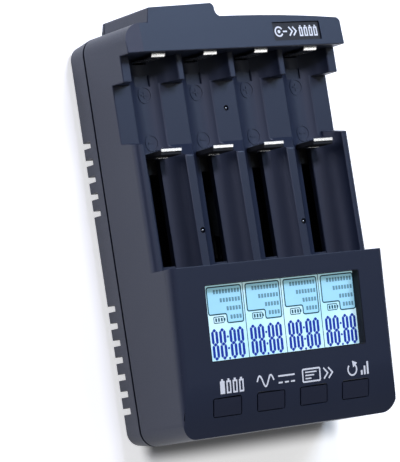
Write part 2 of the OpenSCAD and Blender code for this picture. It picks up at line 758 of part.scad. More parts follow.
// Button cap i, flush with the curved face, with a flange under the shell
module button(i) color("#2d3342") on_panel() translate([button_x + i * button_pitch, -button_y, 0]) {
    difference() {
        translate([0, 0, -cap_d]) linear_extrude(cap_d) slab(button_w, button_h, button_r);
        translate([0, button_y, 0]) difference() {
            translate([-button_w, -button_y - button_h, -10]) cube([2 * button_w, 2 * button_h, 20]);
            translate([-case_w / 2, -droop_y, 0.04 - droop_r]) rotate([0, 90, 0]) cylinder(r = droop_r,
                h = case_w, $fn = 360);
        }
    }
    translate([0, 0, -cap_d]) linear_extrude(flange_t) slab(button_w + 1.6, button_h + 1.6, 0.8);
}

// Plunger of switch i, which moves with its button
module plunger(i) color("#c9c4b4") on_panel() translate([button_x + i * button_pitch, -button_y,
    -card_d + switch_h - 1.2])
    cylinder(r = plunger_r, h = plunger_h + 1.2);

// Body of switch i
module switch_body(i) color("#26272b") on_panel() translate([button_x + i * button_pitch, -button_y,
    -card_d]) difference() {
    translate([-switch_w / 2, -switch_w / 2, 0]) cube([switch_w, switch_w, switch_h]);
    translate([0, 0, switch_h - 1.2 - button_travel - 0.2]) cylinder(r = plunger_r + 0.1, h = 4);
}

// Slider i: upright, neck in the slot, runner below the floor and spring post
module slider(i) color("#15161a") translate([i * bay_pitch, 0, 0]) difference() {
    union() {
        intersection() {
            translate([-slider_w / 2, y_back, bay_z - 1]) cube([slider_w, slider_t, slider_z - bay_z + 1]);
            translate([0, y_panel, bay_axis]) rotate([-90, 0, 0]) cylinder(r = bay_r - slide_gap,
                h = y_head - y_panel);
        }
        translate([-neck_w / 2, y_back, runner_z0 + 0.5]) cube([neck_w, slider_t, bay_z + 3 - runner_z0]);
        translate([-runner_w / 2, runner_y, runner_z0]) cube([runner_w, runner_l, runner_t]);
        translate([0, spring_y0, eye_post_z]) {
            cylinder(r = eye_post_r, h = runner_z0 - eye_post_z + 0.5);
            cylinder(r = eye_post_r + eye_lip, h = eye_lip);
        }
    }
    translate([-tail_w / 2 - fit_gap, y_back - 1, tail_z - fit_gap]) cube([tail_w + 2 * fit_gap,
        slider_t + 2, sheet_t + 2 * fit_gap]);
}

// Contact of slider i: plate, lip over the top and tail through the upright
module slider_contact(i) color("#d9dbde") translate([i * bay_pitch, 0, 0]) {
    translate([-plate_w / 2, y_slide, bay_z + 2]) cube([plate_w, sheet_t, slider_z + sheet_t - bay_z - 2]);
    translate([-plate_w / 2, y_plate - lip_d, slider_z]) cube([plate_w, lip_d, sheet_t]);
    translate([-tail_w / 2, y_back - sheet_t, tail_z]) cube([tail_w, slider_t + sheet_t + eps, sheet_t]);
    translate([-tail_w / 2, y_back - sheet_t, tail_z]) cube([tail_w, sheet_t, tail_h]);
}

// Middle line of a return spring, from its eye on the slider to its eye on the shell
function eye(y, flip, n = 8) = [for (k = [0:n]) let (a = 110 + 320 * k / n) [spring_eye * cos(a),
    y + flip * spring_eye * sin(a), 0]];
function coil(y0, y1, n = 8) = [for (k = [0:n * spring_turns]) let (a = 360 * k / n, r = spring_r - wire_r)
    [r * cos(a), y0 + (y1 - y0) * k / (n * spring_turns), r * sin(a)]];
spring_line = concat(eye(spring_y0, 1), coil(spring_y0 + spring_eye + spring_lead,
    spring_y1 - spring_eye - spring_lead),
                     turned(eye(spring_y1, -1)));

// Round wire along a line of points
module wire(p, r, n = 4) {
    last = len(p) - 1;
    tangent = [for (i = [0:last]) unit(p[min(i + 1, last)] - p[max(i - 1, 0)])];
    u = [for (t = tangent) unit(cross(t, [0, 0.6, 0.8]))];
    v = [for (i = [0:last]) cross(tangent[i], u[i])];
    rings = [for (i = [0:last], k = [0:n - 1]) p[i] + r * (cos(360 * k / n) * u[i] + sin(360 * k / n)
        * v[i])];
    skin = [for (i = [0:last - 1], k = [0:n - 1], half = [0, 1]) let (a = i * n + k, b = i * n + (k + 1)
        % n)
        half == 0 ? [a, b, b + n] : [a, b + n, a + n]];
    ends = [for (k = [1:n - 2], e = [0, 1]) e == 0 ? [0, k + 1, k] : [last * n, last * n + k,
        last * n + k + 1]];
    polyhedron(rings, concat(skin, ends));
}

// Return spring i
module slider_spring(i) color("#a8adb5") translate([i * bay_pitch, 0, spring_z]) wire(spring_line, wire_r);

// Fixed contact i: a bent leaf from the board, through the floor and into the header's wall
module positive_contact(i) color("#d9dbde") translate([i * bay_pitch - leaf_w / 2, 0, 0]) rotate([90, 0,
    90]) linear_extrude(leaf_w)
    polygon(sheet([[leaf_y, board_top], [leaf_y, bay_z + leaf_foot], [y_tip + sheet_t / 2,
        bay_z + leaf_mid],
                   [leaf_y, leaf_z - 0.4], [leaf_y + 0.4, leaf_z], [y_head + wall + 0.5, leaf_z]],
                       sheet_t));

// Main circuit board, with a tongue under the inlet
module main_board() color("#2f6b46") difference() {
    translate([0, 0, board_z]) linear_extrude(board_t) {
        translate([-board_w / 2, board_y0]) square([board_w, board_y1 - board_y0]);
        translate([jack_x - jack_w / 2 - 1, board_y1 - 1]) square([jack_w + 2, jack_y1 - board_y1]);
    }
    translate([0, fan_y, 0]) cylinder(r = fan_r, h = 3 * board_z);
    for (p = board_posts) translate([p[0], p[1], 0]) cylinder(r = clear_r, h = 3 * board_z);
}

// Screws that hold the main board
module board_screws() color("#b8bcc4") for (p = board_posts) translate([p[0], p[1], 0]) {
    translate([0, 0, board_top - board_screw_l]) cylinder(r = screw_r, h = board_screw_l);
    translate([0, 0, board_top]) cylinder(r = head_r, h = head_h);
}

// Screws that hold the two shells together
module case_screws() color("#b8bcc4") for (p = posts) translate([p[0], p[1], 0]) {
    translate([0, 0, post_z - 2.2]) cylinder(r = screw_r, h = post_end - post_z + 1.5);
    difference() {
        translate([0, 0, post_z - 2.2 - head_h]) cylinder(r = head_r, h = head_h);
        for (a = [0, 90]) translate([0, 0, post_z - 2.2 - head_h]) rotate(a) cube([2.6, 0.6, 1.2],
            center = true);
    }
}

// Screws that hold the fan
module fan_screws() color("#b8bcc4") for (c = fan_corners) translate([c[0], c[1] + fan_y, 0]) {
    translate([0, 0, base_z + 1.2]) cylinder(r = screw_r, h = fan_z + fan_t - base_z - 1.2);
    translate([0, 0, fan_z + fan_t]) cylinder(r = head_r, h = head_h);
}

// Frame of the fan, with its hub plate, spokes and bush seat
module fan_frame() color("#202126") translate([0, fan_y, fan_z]) difference() {
    union() {
        difference() {
            linear_extrude(fan_t) slab(fan_w, fan_w, 3);
            translate([0, 0, -1]) cylinder(r = fan_r, h = fan_t + 2);
        }
        cylinder(r = fan_hub_r, h = hub_plate);
        cylinder(r = bush_r + 1.2, h = fan_t - 2.4);
        for (a = [45:90:315]) rotate(a) translate([bush_r + 1, -1.2, 0]) cube([fan_r - bush_r, 2.4,
            hub_plate]);
    }
    translate([0, 0, -1]) cylinder(r = bush_r, h = fan_t);
    for (c = fan_corners) translate([c[0], c[1], -1]) cylinder(r = clear_r, h = fan_t + 2);
}

// Bush that carries the fan's shaft
module fan_bush() color("#b08d57") translate([0, fan_y, fan_z]) difference() {
    cylinder(r = bush_r, h = fan_t - 2.4);
    translate([0, 0, -1]) cylinder(r = shaft_r + shaft_gap, h = fan_t);
}

// Rotor of the fan: cup, blades and shaft
module fan_rotor() color("#2a2b31") translate([0, fan_y, fan_z]) {
    translate([0, 0, 0.3]) cylinder(r = shaft_r, h = fan_t - 1.5);
    difference() {
        translate([0, 0, hub_plate + 0.4]) cylinder(r = fan_hub_r, h = fan_t - hub_plate - 0.8);
        translate([0, 0, hub_plate]) cylinder(r = fan_hub_r - 1.2, h = fan_t - hub_plate - 1.6);
    }
    intersection() {
        translate([0, 0, hub_plate + 0.5]) difference() {
            cylinder(r = fan_r - tip_gap, h = fan_t - hub_plate - 1);
            translate([0, 0, -1]) cylinder(r = fan_hub_r - 0.6, h = fan_t);
        }
        for (k = [0:fan_blades - 1]) rotate(360 * k / fan_blades) translate([fan_hub_r - 1, 0,
            fan_t / 2 + 0.5])
            rotate([38, 0, 0]) translate([0, -0.45, -2 * fan_t]) cube([fan_r, 0.9, 4 * fan_t]);
    }
}

// Power inlet
module dc_jack() color("#1c1d21") difference() {
    translate([jack_x - jack_w / 2, jack_y0, board_top]) cube([jack_w, jack_y1 - jack_y0, jack_h]);
    translate([jack_x, jack_y1 + 1, jack_z]) rotate([90, 0, 0]) cylinder(r = jack_r, h = jack_depth + 1);
}

// Centre pin of the power inlet
module jack_pin() color("#d9dbde") translate([jack_x, jack_y1 - jack_depth, jack_z]) rotate([-90, 0, 0])
    cylinder(r = jack_pin_r, h = jack_depth - 0.8);

// Control chip on the main board
module controller_chip() color("#18191c") translate([chip_x - chip_w / 2, y_panel - chip_y - chip_w / 2,
    board_top])
    cube([chip_w, chip_w, chip_h]);

// Coils of the four charging circuits
module power_coils() color("#3a3a40") for (i = bays) translate([i * bay_pitch, y_panel - coil_y,
    board_top]) difference() {
    translate([-coil_w / 2, -coil_w / 2, 0]) cube([coil_w, coil_w, coil_h]);
    translate([0, 0, coil_h - 1]) cylinder(r = coil_r, h = 2);
}

// Smoothing capacitors
module capacitors() color("#30405c") for (x = [can_x, can_x + can_pitch])
    translate([x, y_panel - can_y, board_top]) cylinder(r = can_r, h = can_h);

// Flat cable between the two boards
module flat_cable() color("#b9bdc6") {
    y = y_panel - cable_y;
    z = panel_z - cable_y * tan(panel_tilt) - card_under / cos(panel_tilt) - 0.1;
    mid = (z + board_top) / 2;
    bow = cable_bow;
    translate([-cable_w / 2, 0, 0]) rotate([90, 0, 90]) linear_extrude(cable_w)
        polygon(sheet([[y, z], [y, z - bow], [y + bow, mid + bow], [y + bow, mid - bow], [y,
            board_top + bow],
                       [y, board_top]], cable_t));
}

// Rubber foot k
module foot(k) color("#17181b") translate([feet[k][0], feet[k][1], 0]) cylinder(r = foot_r,
    h = foot_h + foot_sink);

top_shell();
bottom_shell();
label_plate();
lcd_gasket();
lcd_glass();
lcd_backlight();
lcd_connector();
display_board();
display_screws();
for (k = [0:3]) {
    button(bays[k]);
    plunger(bays[k]);
    switch_body(bays[k]);
    slider(bays[k]);
    slider_contact(bays[k]);
    slider_spring(bays[k]);
    positive_contact(bays[k]);
    foot(k);
}
main_board();
board_screws();
case_screws();
fan_frame();
fan_bush();
fan_rotor();
fan_screws();
dc_jack();
jack_pin();
controller_chip();
power_coils();
capacitors();
flat_cable();
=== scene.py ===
"""Looks of a four-bay battery charger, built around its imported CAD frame. Shapes are worked out in
millimetres and made into meshes in metres. The camera, the lamps and the floor's shader are in metres."""
import json
import math

import bmesh
import bpy
import numpy as np
from mathutils import Matrix, Vector


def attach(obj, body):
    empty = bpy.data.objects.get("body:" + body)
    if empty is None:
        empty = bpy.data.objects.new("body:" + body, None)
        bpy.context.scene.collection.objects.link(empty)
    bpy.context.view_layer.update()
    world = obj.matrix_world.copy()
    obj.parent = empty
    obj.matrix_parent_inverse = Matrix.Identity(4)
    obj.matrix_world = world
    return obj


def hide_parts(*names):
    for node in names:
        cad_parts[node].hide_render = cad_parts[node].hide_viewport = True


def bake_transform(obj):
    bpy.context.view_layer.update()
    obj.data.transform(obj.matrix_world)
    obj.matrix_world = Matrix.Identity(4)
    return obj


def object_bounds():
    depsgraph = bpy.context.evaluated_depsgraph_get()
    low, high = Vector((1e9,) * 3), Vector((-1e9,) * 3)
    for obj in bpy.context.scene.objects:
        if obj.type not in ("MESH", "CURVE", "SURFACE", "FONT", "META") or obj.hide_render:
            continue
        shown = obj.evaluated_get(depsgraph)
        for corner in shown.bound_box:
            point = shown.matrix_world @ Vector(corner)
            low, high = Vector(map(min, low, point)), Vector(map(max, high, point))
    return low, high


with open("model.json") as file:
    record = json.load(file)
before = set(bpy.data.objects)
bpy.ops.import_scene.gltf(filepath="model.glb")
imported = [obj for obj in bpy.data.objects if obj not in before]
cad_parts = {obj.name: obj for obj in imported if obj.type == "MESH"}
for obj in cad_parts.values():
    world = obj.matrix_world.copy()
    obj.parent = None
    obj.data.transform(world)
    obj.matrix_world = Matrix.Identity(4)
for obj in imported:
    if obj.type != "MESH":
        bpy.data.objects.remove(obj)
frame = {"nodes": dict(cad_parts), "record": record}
cad_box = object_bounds()

MM = 0.001
NODES = frame["nodes"]
SLOT_OF = {row["node"]: row["material_slot"] for row in frame["record"]["subparts"]}
BODY_OF = {node: body for body, nodes in frame["record"]["behaviour"]["bodies"].items() for node in nodes}
MOUNT_AT = {mount["name"]: mount["pos_m"] for mount in frame["record"]["mounts"]}
JOINT_OF = {joint["name"]: joint for joint in frame["record"]["behaviour"]["joints"]}


def node_middle(node):
    """Middle of a CAD node across the case."""
    across = [corner[0] / MM for corner in NODES[node].bound_box]
    return (min(across) + max(across)) / 2


# Places read from the frame
BAYS = (1, 2, 3, 4)
BAY_X = np.array([MOUNT_AT[f"bay_{bay}"][0] for bay in BAYS]) / MM
BAY_PITCH = BAY_X[1] - BAY_X[0]
BUTTON_X = np.array([node_middle(f"button_{bay}") for bay in BAYS])
FACE_Z = cad_box[1][2] / MM
FACE_TILT = math.asin(JOINT_OF["button_1_press"]["axis"][1])
SPRING_TO = JOINT_OF["slider_1_slide"]["deforming_nodes"][0]["fixed_end_y_m"] / MM

# Sizes shared with the CAD source
CHANNEL_R, CHANNEL_AXIS = 10.8, 35.8
PLATFORM_Z, RIB_Z = 27.1, 31.85
FACE_Y, FACE_BEND, FACE_BEND_R, FACE_BEND_LIFT = -17.65, 39.2, 81.5, 0.04
HEAD_Y, HEAD_Z, HEAD_TILT = 61.25, 40.85, math.radians(3.9)
LABEL_X, LABEL_V, LABEL_DEPTH = 28.5, 5.8, 0.6
WINDOW_TOP, WINDOW_H, WINDOW_X, WINDOW_W, WINDOW_R = 7.1, 27.8, 0.5, 72.8, 0.6
GLASS_DEPTH = 3.5
PIP_R, PIP_SHIFT, PIP_PLATFORM_Y, PIP_RIB_Y = 1.1, 0.7, 41.45, -3.65
SPRING_Z, SPRING_FROM, SPRING_R, SPRING_LEAD = 19.3, 25.45, 1.75, 1.5
WIRE_R, EYE_R = 0.25, 1.35


# Camera and lamps

CAMERA_AT, CAMERA_TO = (-0.67016, -0.0879, 0.86481), (-0.01543, -0.0027, 0.02)
CAMERA_ROLL, CAMERA_LENS, CAMERA_SENSOR = math.radians(-75.43), 226.63, 36
CLIP_NEAR, CLIP_FAR = 0.05, 20
MIDDLE, HEADER, BEVEL = (0, 0, 0.02), (0, 0.06, 0.03), (-0.04, 0.07, 0.04)
SLIDER_LIPS, CONTACT_TIPS = (0, 0.04, 0.03), (0, 0.06, 0.038)
WHITE = (1, 1, 1)


def aim_camera():
    """Camera looking at its target. Its upright is the world's Z made square to the line of sight, and turned
    by the roll."""
    ahead = (Vector(CAMERA_TO) - Vector(CAMERA_AT)).normalized()
    upright = (Vector((0, 0, 1)) - ahead * ahead.z).normalized()
    across = ahead.cross(upright)
    up = upright * math.cos(CAMERA_ROLL) + across * math.sin(CAMERA_ROLL)
    right = ahead.cross(up)
    cam = bpy.data.objects.new("camera", bpy.data.cameras.new("camera"))
    cam.data.lens, cam.data.sensor_width = CAMERA_LENS, CAMERA_SENSOR
    cam.data.clip_start, cam.data.clip_end = CLIP_NEAR, CLIP_FAR
    cam.matrix_world = Matrix((right, up, -ahead)).transposed().to_4x4()
    cam.location = CAMERA_AT
    bpy.context.scene.collection.objects.link(cam)
    bpy.context.scene.camera = cam


def place_lamp(lamp, at, to, level, colour):
    """Puts a lamp at a place, facing its target."""
    lamp.energy, lamp.color = level, colour
    obj = bpy.data.objects.new(lamp.name, lamp)
    obj.location = at
    obj.rotation_euler = (Vector(to) - Vector(at)).to_track_quat("-Z", "Y").to_euler()
    bpy.context.scene.collection.objects.link(obj)
    return obj


def softbox(name, at, to, size, watts, colour=WHITE):
    """Rectangular studio lamp."""
    lamp = bpy.data.lights.new(name, "AREA")
    lamp.shape = "RECTANGLE"
    lamp.size, lamp.size_y = size
    place_lamp(lamp, at, to, watts, colour)


def far_lamp(name, at, to, spread, level):
    """Distant broad lamp, the same over the whole floor. It isn't mirrored in gloss."""
    lamp = bpy.data.lights.new(name, "SUN")
    lamp.angle = math.radians(spread)
    place_lamp(lamp, at, to, level, WHITE).visible_glossy = False


aim_camera()
far_lamp("key_lamp", at=(0.52, 0.60, 0.95), to=MIDDLE, spread=25, level=0.68)
# Sheen on the header and the ribs
softbox("rear_panel", at=(0.36, 0.35, 0.49), to=HEADER, size=(0.24, 0.24), watts=1.65,
        colour=(0.51, 0.70, 1.0))
# White in the lips of the sliders
softbox("mirror_card", at=(0.55, 0.11, 0.74), to=SLIDER_LIPS, size=(0.16, 0.16), watts=0.15)
# Sheen on the header's bevel
softbox("top_card", at=(-0.02, 0.46, 0.79), to=BEVEL, size=(0.16, 0.16), watts=3.9,
        colour=(0.74, 0.76, 1.0))
# White in the sloping tips of the fixed contacts
softbox("front_card", at=(0.45, -0.52, 0.11), to=CONTACT_TIPS, size=(0.26, 0.2), watts=0.26)
# Light on the left side
softbox("left_fill", at=(-1.14, 0.45, 0.27), to=MIDDLE, size=(0.6, 0.5), watts=4.6,
        colour=(0.66, 0.71, 1.0))
bpy.context.scene.view_settings.view_transform = "Standard"


# Materials

# Places of a Mix node's sockets, whose names repeat: factor, two numbers, two colours, mixed colour
FACTOR, NUMBER_A, NUMBER_B, COLOUR_A, COLOUR_B, COLOUR_OUT = 0, 2, 3, 6, 7, 2
# Range that most of a noise pattern lies in
NOISE_LOW, NOISE_HIGH = 0.3, 0.7


def linear(colour, strength=1.0):
    """Linear RGBA of an sRGB hex colour, made darker or lighter by a strength."""
    c = np.array([int(colour[k:k + 2], 16) for k in (1, 3, 5)]) / 255
    return (*(np.where(c <= 0.04045, c / 12.92, ((c + 0.055) / 1.055) ** 2.4) * strength), 1.0)


def add(tree, kind, sockets=None, **settings):
    """Adds one shader node. Settings are its properties. Sockets are its inputs, each a value or an output
    to link."""
    node = tree.nodes.new("ShaderNode" + kind)
    for name, value in settings.items():
        setattr(node, name, value)
    for key, value in (sockets or {}).items():
        if isinstance(value, bpy.types.NodeSocket):
            tree.links.new(value, node.inputs[key])
        else:
            node.inputs[key].default_value = value
    return node


def start_finish(name, **constants):
    """A new material: its tree, its shader with constants on the sockets, and coordinates in metres."""
    material = bpy.data.materials.new(name)
    material.use_nodes = True
    tree = material.node_tree
    shader = tree.nodes["Principled BSDF"]
    for key, value in constants.items():
        shader.inputs[key.replace("_", " ")].default_value = value
    return material, tree, shader, add(tree, "TexCoord").outputs["Object"]


def per_mm(size):
    """Texture scale, per metre, that makes one unit of a pattern size millimetres wide."""
    return 1 / (size * MM)


def moulded_abs(name, colour, rough, grain=0.55, depth=0.02, drift=0.12):
    """ABS from a spark-eroded mould: satin, with a fine grain that breaks up its shine, and a slow drift in
    tone where the melt flowed. The real grain is about 0.1 mm; it is drawn coarser here so that it shows."""
    flow_size, grain_share, uneven = 38, 0.3, 0.06
    material, tree, shader, where = start_finish(name, IOR=1.53)
    grit = add(tree, "TexNoise", {"Vector": where, "Scale": per_mm(grain), "Detail": 3.0,
                                  "Roughness": 0.65})
    flow = add(tree, "TexNoise", {"Vector": where, "Scale": per_mm(flow_size), "Detail": 2.0})
    cloud = add(tree, "Mix", {FACTOR: grain_share, NUMBER_A: flow.outputs[0], NUMBER_B: grit.outputs[0]})
    tone = add(tree, "Mix", {FACTOR: cloud.outputs[0], COLOUR_A: linear(colour, 1 - drift),
                             COLOUR_B: linear(colour, 1 + drift)}, data_type="RGBA")
    sheen = add(tree, "MapRange", {"Value": grit.outputs[0], "From Min": NOISE_LOW, "From Max": NOISE_HIGH,
                                   "To Min": rough - uneven, "To Max": rough + uneven})
    bump = add(tree, "Bump", {"Height": grit.outputs[0], "Strength": 0.35, "Distance": depth * MM})
    tree.links.new(tone.outputs[COLOUR_OUT], shader.inputs["Base Color"])
    tree.links.new(sheen.outputs[0], shader.inputs["Roughness"])
    tree.links.new(bump.outputs[0], shader.inputs["Normal"])
    return material


def plated_metal(name, colour, rough, line=0.25, stretch=14, depth=0.004):
    """Sheet or wire with a bright plate: a mirror-like metal, with fine lines along X from rolling."""
    line_tone, uneven = 0.9, 0.05
    material, tree, shader, where = start_finish(name, Metallic=1.0)
    drawn = add(tree, "Mapping", {"Vector": where, "Scale": (1 / stretch, 1, 1)})
    lines = add(tree, "TexNoise", {"Vector": drawn.outputs[0], "Scale": per_mm(line), "Detail": 2.0})
    tone = add(tree, "Mix", {FACTOR: lines.outputs[0], COLOUR_A: linear(colour, line_tone),
                             COLOUR_B: linear(colour)}, data_type="RGBA")
    sheen = add(tree, "MapRange", {"Value": lines.outputs[0], "From Min": NOISE_LOW, "From Max": NOISE_HIGH,
                                   "To Min": rough - uneven, "To Max": rough + uneven})
    bump = add(tree, "Bump", {"Height": lines.outputs[0], "Strength": 0.05, "Distance": depth * MM})
    tree.links.new(tone.outputs[COLOUR_OUT], shader.inputs["Base Color"])
    tree.links.new(sheen.outputs[0], shader.inputs["Roughness"])
    tree.links.new(bump.outputs[0], shader.inputs["Normal"])
    return material


def lit_display(name, colour, deep, glow):
    """Backlit display glass: a pale diffuser glows through it, in slow clouds of a lighter and a deeper
    colour, under a polished face."""
    cloud_size = 22
    material, tree, shader, where = start_finish(name, Roughness=0.18, IOR=1.5, Emission_Strength=glow,
                                                 Coat_Weight=0.4, Coat_Roughness=0.04)
    cloud = add(tree, "TexNoise", {"Vector": where, "Scale": per_mm(cloud_size), "Detail": 1.0})
    spread = add(tree, "MapRange", {"Value": cloud.outputs[0], "From Min": 0.35, "From Max": 0.65})
    tone = add(tree, "Mix", {FACTOR: spread.outputs[0], COLOUR_A: linear(deep), COLOUR_B: linear(colour)},
               data_type="RGBA")
    tree.links.new(tone.outputs[COLOUR_OUT], shader.inputs["Base Color"])
    tree.links.new(tone.outputs[COLOUR_OUT], shader.inputs["Emission Color"])
    return material


def printed_ink(name, colour, rough, glow, patch=0.4, drift=0.1):
    """Screen-printed ink or a display's dark segments: flat colour with the slight unevenness of a printed
    film, and a little glow: the backlight through a display's segments, and painted light on ink printed on
    the case."""
    material, tree, shader, where = start_finish(name, IOR=1.5, Roughness=rough, Emission_Strength=glow)
    film = add(tree, "TexNoise", {"Vector": where, "Scale": per_mm(patch), "Detail": 2.0})
    tone = add(tree, "Mix", {FACTOR: film.outputs[0], COLOUR_A: linear(colour, 1 - drift),
                             COLOUR_B: linear(colour)}, data_type="RGBA")
    tree.links.new(tone.outputs[COLOUR_OUT], shader.inputs["Base Color"])
    tree.links.new(tone.outputs[COLOUR_OUT], shader.inputs["Emission Color"])
    return material


def circuit_board(name, mask, copper):
    """Glass-epoxy board under black solder mask: tracks stand out as a slightly lighter net of lines, about
    2 mm apart one way and 1 mm the other."""
    net_size, track_depth = 4.5, 0.03
    material, tree, shader, where = start_finish(name, Roughness=0.35, IOR=1.55)
    net = add(tree, "TexBrick", {"Vector": where, "Scale": per_mm(net_size), "Mortar Size": 0.06,
                                 "Color1": linear(mask), "Color2": linear(mask), "Mortar": linear(copper)})
    bump = add(tree, "Bump", {"Height": net.outputs["Fac"], "Strength": 0.3, "Distance": track_depth * MM})
    tree.links.new(net.outputs["Color"], shader.inputs["Base Color"])
    tree.links.new(bump.outputs[0], shader.inputs["Normal"])
    return material


def ribbon_cable(name, jacket, painted_groove_shade):
    """Flat cable of black vinyl: darker lines across X paint the shade of the grooves between groups of cores
    that are 8 mm wide.
    Blender's wave makes one turn in 2 pi / 20 of a unit."""
    group_width, wave_turn = 7.98, 2 * math.pi / 20
    material, tree, shader, where = start_finish(name, Roughness=0.42, IOR=1.5)
    cores = add(tree, "TexWave", {"Vector": where, "Scale": per_mm(group_width) * wave_turn,
                                  "Distortion": 0.0}, bands_direction="X")
    tone = add(tree, "Mix", {FACTOR: cores.outputs["Fac"], COLOUR_A: linear(painted_groove_shade),
                             COLOUR_B: linear(jacket)}, data_type="RGBA")
    tree.links.new(tone.outputs[COLOUR_OUT], shader.inputs["Base Color"])
    return material


def studio_floor(name, glow):
    """Pale floor: it shows white to the camera, to gloss and to glass, and the diffuse share of it takes the
    shadow. Its white fades out under the case and over a few millimetres round it, a painted shadow where the
    case keeps light out: at a point p outside a rectangle with middle m and half sizes h, the distance is the
    length of max(|p - m| - h, 0)."""
    painted_shadow_middle, painted_shadow_half, painted_shadow_fade = (0.0055, -0.0055, 0), (0.0415, 0.074, 1), 0.008
    zero = (0, 0, 0)
    to_edge = (("SUBTRACT", painted_shadow_middle), ("ABSOLUTE", zero), ("SUBTRACT", painted_shadow_half), ("MAXIMUM", zero))
    material = bpy.data.materials.new(name)
    material.use_nodes = True
    tree = material.node_tree
    tree.nodes.remove(tree.nodes["Principled BSDF"])
    rays = add(tree, "LightPath").outputs
    seen = rays["Is Camera Ray"]
    for ray in ("Is Glossy Ray", "Is Transmission Ray"):
        seen = add(tree, "Math", {0: seen, 1: rays[ray]}, operation="MAXIMUM").outputs[0]
    away = add(tree, "TexCoord").outputs["Object"]
    for operation, other in to_edge:
        away = add(tree, "VectorMath", {0: away, 1: other}, operation=operation).outputs[0]
    distance = add(tree, "VectorMath", {0: away}, operation="LENGTH").outputs["Value"]
    clear = add(tree, "MapRange", {"Value": distance, "From Min": 0.0, "From Max": painted_shadow_fade, "To Min": 0.0,
                                   "To Max": glow}, interpolation_type="SMOOTHSTEP")
    share = add(tree, "Math", {0: seen, 1: clear.outputs[0]}, operation="MULTIPLY")
    matt = add(tree, "BsdfDiffuse", {"Color": (0.9, 0.9, 0.9, 1)})
    white = add(tree, "Emission", {"Color": (*WHITE, 1), "Strength": share.outputs[0]})
    both = add(tree, "AddShader", {0: matt.outputs[0], 1: white.outputs[0]})
    tree.links.new(both.outputs[0], tree.nodes["Material Output"].inputs["Surface"])
    return material


def studio_world(strength):
    """Even pale surround: white to the camera, and weaker as light and in gloss, so that dark plastic stays
    clear of haze."""
    world = bpy.data.worlds.new("studio")
    world.use_nodes = True
    bpy.context.scene.world = world
    tree = world.node_tree
    path = add(tree, "LightPath")
    level = add(tree, "MapRange", {"Value": path.outputs["Is Camera Ray"], "To Min": strength,
                                   "To Max": 1.0})
    tree.links.new(level.outputs[0], tree.nodes["Background"].inputs["Strength"])
    tree.nodes["Background"].inputs["Color"].default_value = (*WHITE, 1)


FINISH = {
    "case_plastic": moulded_abs("slate_satin_abs", "#1e2639", rough=0.46),
    "button_plastic": moulded_abs("dark_satin_abs", "#1c2234", rough=0.46),
    "black_plastic": moulded_abs("black_moulded_abs", "#09090b", rough=0.72),
    "label_plastic": moulded_abs("grained_label_film", "#1c1a1c", rough=0.6, grain=0.9, depth=0.05,
                                 drift=0.3),
    "switch_plunger": moulded_abs("cream_acetal", "#c9c4b4", rough=0.4),
    "rubber": moulded_abs("black_silicone_rubber", "#16171a", rough=0.78, grain=0.8, depth=0.04),
    "display_glass": lit_display("backlit_display_glass", "#cdf0f6", deep="#b4e6f2", glow=0.5),
    "light_block": moulded_abs("milky_acrylic_diffuser", "#e6f2f6", rough=0.3),
    "board": circuit_board("black_circuit_board", mask="#0c0f0e", copper="#191d1b"),
    "nickel_sheet": plated_metal("bright_nickel_plate", "#fbfbf9", rough=0.24),
    "spring_steel": plated_metal("drawn_spring_steel", "#a7abb2", rough=0.28),
    "screw_steel": plated_metal("blackened_steel", "#2c2d31", rough=0.4),
    "bush_brass": plated_metal("sintered_brass", "#b98f4a", rough=0.4),
    "chip_resin": moulded_abs("black_chip_resin", "#1a1b1e", rough=0.6, grain=0.3),
    "coil_ferrite": moulded_abs("grey_sintered_ferrite", "#3c3d42", rough=0.7, grain=0.7, depth=0.05),
    "capacitor_can": moulded_abs("blue_sleeved_can", "#2a3b63", rough=0.3, grain=0.9),
    "cable_plastic": ribbon_cable("black_ribbon_cable", jacket="#1d1e22", painted_groove_shade="#0e0f11"),
}
CRYSTAL_BLUE = printed_ink("display_blue_segments", "#2040b0", rough=0.3, glow=0.12)
CRYSTAL_TEAL = printed_ink("display_teal_lines", "#2f5f6c", rough=0.3, glow=0.1)
CRYSTAL_GREY = printed_ink("display_grey_marks", "#6f9fb0", rough=0.3, glow=0.2)
CRYSTAL_FIELD = printed_ink("display_cyan_fields", "#a5def0", rough=0.25, glow=0.42, patch=6)
# The white signs on the case are printed ink; their glow is painted light.
WHITE_INK = printed_ink("white_screen_ink", "#e9ebee", rough=0.5, glow=0.1)
studio_world(strength=0.13)


# Shapes worked out on grids

def skin(rings, closed=False):
    """Skin over n rings of k points: point (i, j) meets (i + 1, j) and (i, j + 1), counted round. A run that
    isn't closed gets a flat face at each end."""
    n, k, _ = rings.shape
    i, j = np.meshgrid(np.arange(n if closed else n - 1), np.arange(k), indexing="ij")
    ahead, beside = (i + 1) % n, (j + 1) % k
    quads = np.stack([i * k + j, i * k + beside, ahead * k + beside, ahead * k + j], -1)
    quads = quads.reshape(-1, 4).tolist()
    if not closed:
        quads += [list(range(k)), list(range((n - 1) * k, n * k))]
    return rings.reshape(-1, 3), quads


def band(path, width, low, high, closed=False):
    """Flat bar along a path in the plane: at each point a rectangle's four corners, pushed sideways along the
    mitre of the two runs that meet there, (n0 + n1) / (1 + n0 . n1) times half the width."""
    p = np.asarray(path, float)
    before = np.roll(p, 1, 0) if closed else np.vstack([2 * p[:1] - p[1:2], p[:-1]])
    after = np.roll(p, -1, 0) if closed else np.vstack([p[1:], 2 * p[-1:] - p[-2:-1]])
    runs = np.stack([p - before, after - p])
    runs /= np.linalg.norm(runs, axis=2, keepdims=True)
    n0, n1 = np.stack([-runs[..., 1], runs[..., 0]], -1)
    side = (n0 + n1) / (1 + (n0 * n1).sum(1, keepdims=True)) * width / 2
    flat = np.stack([p + side, p + side, p - side, p - side], 1)
    lift = np.broadcast_to(np.array([low, high, high, low])[None, :, None], (len(p), 4, 1))
    return skin(np.concatenate([flat, lift], 2), closed)


